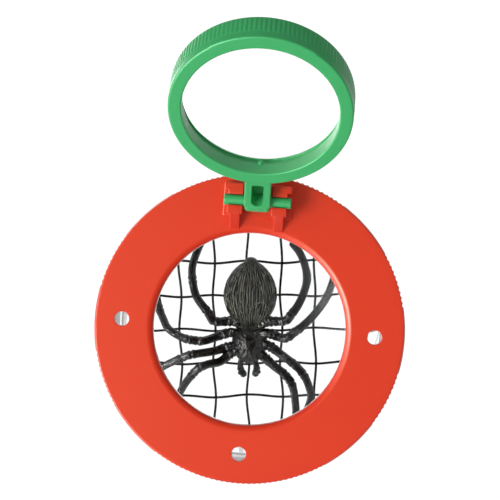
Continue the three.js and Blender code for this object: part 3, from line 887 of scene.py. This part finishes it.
# An egg along Y: half of each size times the sines and cosines of the angles.
def egg(v, a, size, taper=1.0, swell=1.0):
    width, length, height = size
    x = width / 2 * np.sin(v) * taper * np.cos(a) * swell
    y = length / 2 * np.cos(v) * np.ones_like(a)
    z = height / 2 * np.sin(v) * taper * np.sin(a) * swell
    return x, y, z


# The abdomen narrows towards the tail, and wavy cosines ripple it lengthwise.
def abdomenGrid(s):
    v, a = eggAngles(170, 260)
    taper = 1 - 0.05 * np.cos(v) - 0.1 * np.cos(v).clip(0) ** 2
    wave = 0.35 * np.sin(5.1 * v + 2 * a) + 0.3 * np.sin(9.3 * v - 3 * a)
    hair = 0.5 + 0.5 * np.cos(s["hairs"] * a + 4 * wave)
    strands = hair * (0.6 + 0.4 * np.cos(23 * a + 5.1 * v + 1.2)) * (np.sin(v) ** 0.6)
    swell = 1 + (strands - 0.5) * s["hairSwell"]
    centre = np.array([0, s["abdomenBack"], ground + s["abdomen"][2] / 2])
    return np.stack(egg(v, a, s["abdomen"], taper, swell), -1) * s["abdomenScale"] + centre


def tailGrid(s):
    back = s["abdomenBack"] + (s["abdomen"][1] - s["tail"][1]) / 2 + s["tailReach"]
    centre = np.array([0, back, ground + s["abdomen"][2] / 2])
    return np.stack(egg(*eggAngles(24, 24), s["tail"]), -1) + centre


# The chest: a flattened egg, narrower at the head, with wavy grooves that run out over its top.
def chestGrid(s):
    v, a = eggAngles(90, 120)
    width, length, height = s["chest"]
    x, y, _ = egg(v, a, s["chest"], 1 + 0.05 * np.cos(v))
    z = height / 2 * np.sin(v) * np.sin(a)
    out = np.hypot(x / width, y / length) * 2
    groove = 0.5 + 0.5 * np.cos(s["chestGrooves"] * np.arctan2(y, x) + 1.6 * np.sin(9 * out))
    fadeIn, fadeOut = ease(out, *s["grooveStarts"]), 1 - ease(out, *s["grooveEnds"])
    z = z - s["grooveDepth"] * groove * fadeIn * fadeOut * (z > 0)
    centre = np.array([0, -s["chestForward"], ground + s["chestRise"]])
    return np.stack([x, y, z], -1) + centre


def makeSpider(s):
    piece = fromGrid("toySpider", abdomenGrid(s))
    combine(piece, fromGrid("spiderChest", chestGrid(s)))
    combine(piece, fromGrid("spiderTail", tailGrid(s)))
    for route, joints in zip(legRoutes, legJointShares):
        beads = [(1 + bead) / (len(route) - 1) for bead in s["beads"]]
        marks = (*beads, *joints)
        leg = limbGrid(s, route, s["leg"], s["legTip"], s["arch"], marks, s["legRows"])
        combine(piece, fromGrid("spiderLeg", leg))
    for route in palpRoutes:
        palp = limbGrid(s, route, s["palp"], s["palp"], 0, s["palpJoints"], s["palpRows"])
        combine(piece, fromGrid("spiderPalp", palp))
    turn = Matrix.Rotation(math.radians(s["turn"]), 4, "Z")
    return moved(piece, shift(s["aside"], s["back"], 0) @ turn)


spiderPiece = makeSpider(spider)
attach(spiderPiece, "spider")
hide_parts("toy_spider")
print("spider made", len(spiderPiece.data.polygons))


# Shader helpers

# Sets a node's inputs, by a link where the value comes out of another node.
def feed(tree, node, inputs):
    for key, value in inputs.items():
        if isinstance(value, bpy.types.NodeSocket):
            tree.links.new(value, node.inputs[key])
        else:
            node.inputs[key].default_value = value


def addNode(tree, kind, inputs=None, **settings):
    node = tree.nodes.new("ShaderNode" + kind)
    for key, value in settings.items():
        setattr(node, key, value)
    feed(tree, node, inputs or {})
    return node.outputs


def objectPlace(tree):
    return addNode(tree, "TexCoord")["Object"]


def maths(tree, operation, *values):
    return addNode(tree, "Math", dict(enumerate(values)), operation=operation)[0]


def vectorMaths(tree, operation, *values):
    return addNode(tree, "VectorMath", dict(enumerate(values)), operation=operation)


def noise(tree, place, scale, detail, roughness=0.5):
    inputs = {"Vector": place, "Scale": scale, "Detail": detail, "Roughness": roughness}
    return addNode(tree, "TexNoise", inputs)["Fac"]


# Carries a value from one span to another and holds it at the ends.
def spread(tree, value, fromSpan=(0.0, 1.0), toSpan=(0.0, 1.0), curve="LINEAR"):
    ends = {"From Min": fromSpan[0], "From Max": fromSpan[1], "To Min": toSpan[0], "To Max": toSpan[1]}
    return addNode(tree, "MapRange", {"Value": value, **ends}, interpolation_type=curve)[0]


def blend(tree, share, first, second):
    return addNode(tree, "Mix", {0: share, 2: first, 3: second})[0]


def blendColours(tree, share, first, second):
    return addNode(tree, "Mix", {0: share, 6: first, 7: second}, data_type="RGBA")[2]


def blendShaders(tree, output, share, first, second):
    mix = addNode(tree, "MixShader", {0: share, 1: first, 2: second})
    feed(tree, output, {"Surface": mix[0]})


# A node group. Inputs are named with their first values, outputs with their kinds.
def newGroup(name, inputs, outputs):
    tree = bpy.data.node_groups.new(name, "ShaderNodeTree")
    for label, value in inputs.items():
        kind = "NodeSocketColor" if isinstance(value, tuple) else "NodeSocketFloat"
        tree.interface.new_socket(label, in_out="INPUT", socket_type=kind).default_value = value
    for label, kind in outputs.items():
        tree.interface.new_socket(label, in_out="OUTPUT", socket_type="NodeSocket" + kind)
    return tree, tree.nodes.new("NodeGroupInput").outputs, tree.nodes.new("NodeGroupOutput")


def newMaterial(name):
    material = bpy.data.materials.new(name)
    material.use_nodes = True
    tree = material.node_tree
    return material, tree, tree.nodes["Principled BSDF"], tree.nodes["Material Output"]


def dress(piece, material):
    piece.data.materials.clear()
    piece.data.materials.append(material)


# Moulded plastic: a fine grain, a slow drift of tone, and small scuffs that dull and lighten. The scales are
# ripples per metre, and the grain's depth is in metres.
wear = dict(
    driftScale=55.0,
    scuffScale=420.0,
    scuffSpan=(0.6, 0.78),
    scuffDulls=0.35,
    grainDepth=0.00005,
)


def makeMouldedGroup(s):
    tree, given, made = newGroup("mouldedPlastic", {
        "Color": (0.5, 0.5, 0.5, 1), "Worn Color": (0.8, 0.8, 0.8, 1), "Tone": 0.05, "Grain": 0.12,
        "Grain Scale": 4500.0, "Scuffs": 0.15, "Roughness": 0.4,
    }, {"Color": "Color", "Roughness": "Float", "Normal": "Vector"})
    place = objectPlace(tree)
    drift = maths(tree, "SUBTRACT", noise(tree, place, s["driftScale"], 3.0, 0.55), 0.5)
    bright = maths(tree, "MULTIPLY_ADD", drift, given["Tone"], 1.0)
    toned = addNode(tree, "HueSaturation", {"Value": bright, "Color": given["Color"]})[0]
    scuffs = spread(tree, noise(tree, place, s["scuffScale"], 6.0, 0.7), s["scuffSpan"])
    amount = maths(tree, "MULTIPLY", scuffs, given["Scuffs"])
    grain = noise(tree, place, given["Grain Scale"], 3.0)
    bump = {"Height": grain, "Strength": given["Grain"], "Distance": s["grainDepth"]}
    feed(tree, made, {
        "Color": blendColours(tree, amount, toned, given["Worn Color"]),
        "Roughness": maths(tree, "MULTIPLY_ADD", amount, s["scuffDulls"], given["Roughness"]),
        "Normal": addNode(tree, "Bump", bump)[0],
    })
    return tree


moulded = makeMouldedGroup(wear)


def mouldedMaterial(name, skin, shine):
    material, tree, shader, _ = newMaterial(name)
    made = addNode(tree, "Group", skin, node_tree=moulded)
    skinned = {"Base Color": made["Color"], "Roughness": made["Roughness"], "Normal": made["Normal"]}
    feed(tree, shader, skinned | shine)
    return material


# Clear plastic: plain transmission, dulled a little by smudges, and frosted from one height to another where
# that is asked for. Shadow rays pass through, so that lamps reach what is inside.
smudges = dict(scale=90.0, span=(0.5, 0.8), dulls=0.03)


def clearMaterial(name, s):
    material, tree, shader, output = newMaterial(name)
    place = objectPlace(tree)
    smudge = noise(tree, place, smudges["scale"], 4.0)
    dull = spread(tree, smudge, smudges["span"], (s["roughness"], s["roughness"] + smudges["dulls"]))
    if "frostSpan" in s:
        height = addNode(tree, "SeparateXYZ", {"Vector": place})["Z"]
        ground = spread(tree, height, [z * mm for z in s["frostSpan"]])
        dull = blend(tree, ground, dull, s["frostRoughness"])
    feed(tree, shader, {
        "Base Color": s["tint"], "IOR": s["ior"], "Transmission Weight": 1.0,
        "Specular Tint": (*[s["sheen"]] * 3, 1), "Roughness": dull,
    })
    shadow = addNode(tree, "LightPath")["Is Shadow Ray"]
    blendShaders(tree, output, shadow, shader.outputs[0], addNode(tree, "BsdfTransparent")[0])
    return material


redSkin = {"Color": (0.685, 0.017, 0.002, 1), "Worn Color": (0.82, 0.06, 0.03, 1), "Roughness": 0.5}
redShine = {"Specular Tint": (1, 0.9, 0.4, 1), "Coat Weight": 0.85, "Coat Roughness": 0.28}
greenSkin = {"Color": (0.036, 0.4, 0.12, 1), "Worn Color": (0.2, 0.5, 0.28, 1), "Roughness": 0.42}
greenShine = {"Coat Weight": 0.4, "Coat Roughness": 0.55}
netSkin = {"Color": (0.004, 0.004, 0.0045, 1), "Worn Color": (0.02, 0.02, 0.02, 1), "Roughness": 0.6,
           "Grain": 0.2}
netShine = {"Specular IOR Level": 0.25}
lensLook = dict(tint=(1, 1, 1, 1), ior=1.49, roughness=0.0, sheen=0.1)
jarLook = dict(
    tint=(0.985, 0.995, 0.995, 1),
    ior=1.55,
    roughness=0.015,
    sheen=1.0,
    frostSpan=(48.5, 50.5),
    frostRoughness=0.45,
)
lensPlastic = clearMaterial("lensPlastic", lensLook)
dress(lidPiece, mouldedMaterial("redPlastic", redSkin, redShine))
dress(flipPiece, mouldedMaterial("greenPlastic", greenSkin, greenShine))
dress(lidLensPiece, lensPlastic)
dress(flipLensPiece, lensPlastic)
dress(jarPiece, clearMaterial("jarPlastic", jarLook))
dress(netPiece, mouldedMaterial("blackNet", netSkin, netShine))


# The toy's dark rubber, with pale flecks, and on the abdomen pale strands over dark grooves that follow the
# hair's relief: a painted highlight on the strands and painted shade in the grooves
rubber = dict(
    dark=(0.0008, 0.001, 0.0006, 1),
    fleck=(0.012, 0.013, 0.0095, 1),
    fleckScale=1500.0,
    fleckSpan=(0.5, 0.75),
    # painted shade in the grooves between the abdomen's strands
    groove=(0.0005, 0.0006, 0.0004, 1),
    # painted highlight on the abdomen's strands
    strand=(0.16, 0.167, 0.127, 1),
    paintedStrandSpan=(0.45, 0.95),
    strands=54.0,
    wander=10.5,
    wanderScales=((900.0, 1.0), (1500.0, 0.71)),  # with the share of the strands that each takes
    hairFade=(1.06, 1.12),  # how far out the hair ends, where the egg's outline is 1
    relief=0.3,
    fleckRelief=0.12,
    roughness=0.25,
    gloss=0.44,
)


# Hair on the abdomen: strands lie at equal angles about its long axis and noise makes them wander. The mask
# is 1 within the egg's outline and 0 outside it.
def makeHairGroup(s):
    tree, given, made = newGroup("abdomenHair", {"Strands": s["strands"], "Wander": s["wander"]},
                                 {"Strand": "Float", "Mask": "Float"})
    turn = math.radians(s["turn"])
    back = s["abdomenBack"]
    aside, behind = s["aside"] - back * math.sin(turn), s["back"] + back * math.cos(turn)
    middle = (aside, behind, ground + s["abdomen"][2] / 2)
    placing = {"Vector": objectPlace(tree), "Location": [c * mm for c in middle], "Rotation": (0, 0, turn)}
    own = addNode(tree, "Mapping", placing, vector_type="TEXTURE")[0]
    axes = addNode(tree, "SeparateXYZ", {"Vector": own})
    angle = maths(tree, "ARCTAN2", axes["Z"], axes["X"])
    long = vectorMaths(tree, "MULTIPLY", own, (1.0, 0.4, 1.0))[0]
    waves = []
    for scale, share in s["wanderScales"]:
        wander = maths(tree, "MULTIPLY", noise(tree, long, scale, 2.0), given["Wander"])
        count = maths(tree, "MULTIPLY", given["Strands"], share)
        waves.append(maths(tree, "SINE", maths(tree, "MULTIPLY_ADD", angle, count, wander)))
    spans = [2 / (size * mm) for size in s["abdomen"]]
    out = vectorMaths(tree, "LENGTH", vectorMaths(tree, "MULTIPLY", own, spans)[0])["Value"]
    feed(tree, made, {
        "Strand": spread(tree, maths(tree, "ADD", *waves), (-1.6, 1.6)),
        "Mask": spread(tree, out, s["hairFade"], (1.0, 0.0)),
    })
    return tree


def makeSpiderMaterial(s):
    material, tree, shader, _ = newMaterial("spiderRubber")
    hair = addNode(tree, "Group", node_tree=makeHairGroup(s))
    fleck = noise(tree, objectPlace(tree), s["fleckScale"], 4.0, 0.6)
    skin = blendColours(tree, spread(tree, fleck, s["fleckSpan"]), s["dark"], s["fleck"])
    # Painted light: the colour follows the hair's relief, pale on the strands and dark in the grooves
    paintedHairLight = blendColours(tree, spread(tree, hair["Strand"], s["paintedStrandSpan"]), s["groove"], s["strand"])
    shallow = maths(tree, "MULTIPLY", fleck, s["fleckRelief"] / s["relief"])
    relief = blend(tree, hair["Mask"], shallow, hair["Strand"])
    bump = addNode(tree, "Bump", {"Height": relief, "Strength": 1.0, "Distance": s["relief"] * mm})[0]
    feed(tree, shader, {
        "Base Color": blendColours(tree, hair["Mask"], skin, paintedHairLight), "Normal": bump,
        "Roughness": s["roughness"], "Specular IOR Level": s["gloss"],
    })
    return material


dress(spiderPiece, makeSpiderMaterial(spider | rubber))
print("materials made")


# Floor, lamp and world
studio = dict(
    key=21.0,
    keySize=0.9,
    keyFrom=(-0.61, -0.28, 0.74),
    keyAway=1.8,
    fillWorld=0.63,
    fillLean=0.35,  # how much more of it comes from the bright side
    brightSide=(-0.906, -0.423, 0.1),
    glossSpan=(0.5, 1.0),  # mirrorings grow from dark to bright towards the bright side
    glossLight=(0.025, 5.0),
    boxSpan=(0.9, 0.98),  # a soft box round the lamp that only mirrorings see
    boxPeak=7.0,
    paintedSpotGlow=3.3,  # a spot on the floor left of the ring that glows for mirrored rays only, though it is no lamp: a painted highlight on the ring's wall, which mirrors it
    paintedSpotPlace=(-0.058, 0.058, 0),
    paintedSpotSpan=(0.045, 0.028),
    lowWorld=0.7,  # the world looks white through clear plastic below this height
    white=1.12,  # makes up for what the clear plastic takes away
    mirrorings=3,  # how often light may be mirrored in clear plastic and still show the white
    floorHalf=1500,
    floorTone=0.9,
    floorGlow=0.85,
    paintedPoolSpan=(0.1, 0.16),  # the floor's colour darkens between these distances from the jar, in metres: a painted pool of light
    paintedPoolDark=0.15,
)


# 1 for rays that left the camera and met only clear plastic on their way, by passing through it, and were
# mirrored no more often than the given number of times.
def seenThrough(tree, path, mirrorings=0):
    turned = maths(tree, "MULTIPLY_ADD", path["Diffuse Depth"], 9.0, path["Glossy Depth"])
    straight = maths(tree, "LESS_THAN", turned, mirrorings + 0.5)
    return maths(tree, "MULTIPLY", straight, path["Is Transmission Ray"])


# 1 for mirrored rays that met no dull surface before.
def mirrored(tree, path):
    fresh = maths(tree, "LESS_THAN", path["Diffuse Depth"], 0.5)
    return maths(tree, "MULTIPLY", path["Is Glossy Ray"], fresh)


def makeFloor(s):
    half = s["floorHalf"]
    corners = np.array([(-half, -half, 0), (half, -half, 0), (half, half, 0), (-half, half, 0)])
    mesh = bpy.data.meshes.new("studioFloor")
    mesh.from_pydata((corners * mm).tolist(), [], [(0, 1, 2, 3)])
    floor = addObject("studioFloor", mesh)
    material, tree, shader, output = newMaterial("paleFloor")
    place = objectPlace(tree)
    far = vectorMaths(tree, "LENGTH", place)["Value"]
    # Painted pool of light: the floor's colour falls from its tone to dark away from the jar
    paintedPool = spread(tree, far, s["paintedPoolSpan"], (s["floorTone"], s["paintedPoolDark"]), "SMOOTHSTEP")
    feed(tree, shader, {"Base Color": paintedPool, "Roughness": 0.9, "Specular IOR Level": 0.0})
    path = addNode(tree, "LightPath")
    direct = maths(tree, "MULTIPLY", path["Is Camera Ray"], s["floorGlow"])
    seen = maths(tree, "MAXIMUM", seenThrough(tree, path, s["mirrorings"]), direct)
    # Painted highlight: a spot of the floor glows for mirrored rays only, for the ring's wall to mirror
    fromSpot = vectorMaths(tree, "DISTANCE", place, s["paintedSpotPlace"])["Value"]
    paintedSpot = maths(tree, "MULTIPLY", mirrored(tree, path), spread(tree, fromSpot, s["paintedSpotSpan"]))
    share = maths(tree, "MAXIMUM", seen, paintedSpot)
    strength = spread(tree, paintedSpot, toSpan=(s["white"], s["paintedSpotGlow"]))
    glow = addNode(tree, "Emission", {"Color": (1, 1, 1, 1), "Strength": strength})[0]
    blendShaders(tree, output, share, shader.outputs[0], glow)
    dress(floor, material)


def makeKey(s):
    data = bpy.data.lights.new("keyLamp", "AREA")
    data.shape = "DISK"
    data.size = s["keySize"]
    data.energy = s["key"]
    lamp = addObject("keyLamp", data)
    way = Vector(s["keyFrom"]).normalized()
    lamp.location = way * s["keyAway"] + Vector((0, 0, lidTop * mm))
    lamp.rotation_mode = "QUATERNION"
    lamp.rotation_quaternion = way.to_track_quat("Z", "Y")


# White where the camera sees it, dark to bright across for mirrorings, and an even light leaning to one side
# for all else.
def makeWorld(s):
    world = bpy.data.worlds.new("studioWorld")
    scene.world = world
    world.use_nodes = True
    tree = world.node_tree
    path = addNode(tree, "LightPath")
    way = addNode(tree, "TexCoord")["Generated"]
    height = addNode(tree, "SeparateXYZ", {"Vector": way})["Z"]
    low = maths(tree, "LESS_THAN", height, s["lowWorld"])
    lowSeen = maths(tree, "MULTIPLY", seenThrough(tree, path, s["mirrorings"]), low)
    through = maths(tree, "MAXIMUM", lowSeen, seenThrough(tree, path))
    seen = maths(tree, "MAXIMUM", path["Is Camera Ray"], through)
    side = vectorMaths(tree, "DOT_PRODUCT", way, s["brightSide"])["Value"]
    sheen = spread(tree, side, s["glossSpan"], s["glossLight"], "SMOOTHSTEP")
    nearLamp = vectorMaths(tree, "DOT_PRODUCT", way, Vector(s["keyFrom"]).normalized())["Value"]
    box = spread(tree, nearLamp, s["boxSpan"], (0.0, s["boxPeak"]), "SMOOTHSTEP")
    fill = maths(tree, "MULTIPLY_ADD", side, s["fillWorld"] * s["fillLean"], s["fillWorld"])
    gloss = spread(tree, mirrored(tree, path), toSpan=(fill, maths(tree, "ADD", sheen, box)))
    strength = spread(tree, seen, toSpan=(gloss, s["white"]))
    feed(tree, tree.nodes["Background"], {"Color": (1, 1, 1, 1), "Strength": strength})


makeFloor(studio)
makeKey(studio)
makeWorld(studio)
print("studio lit")
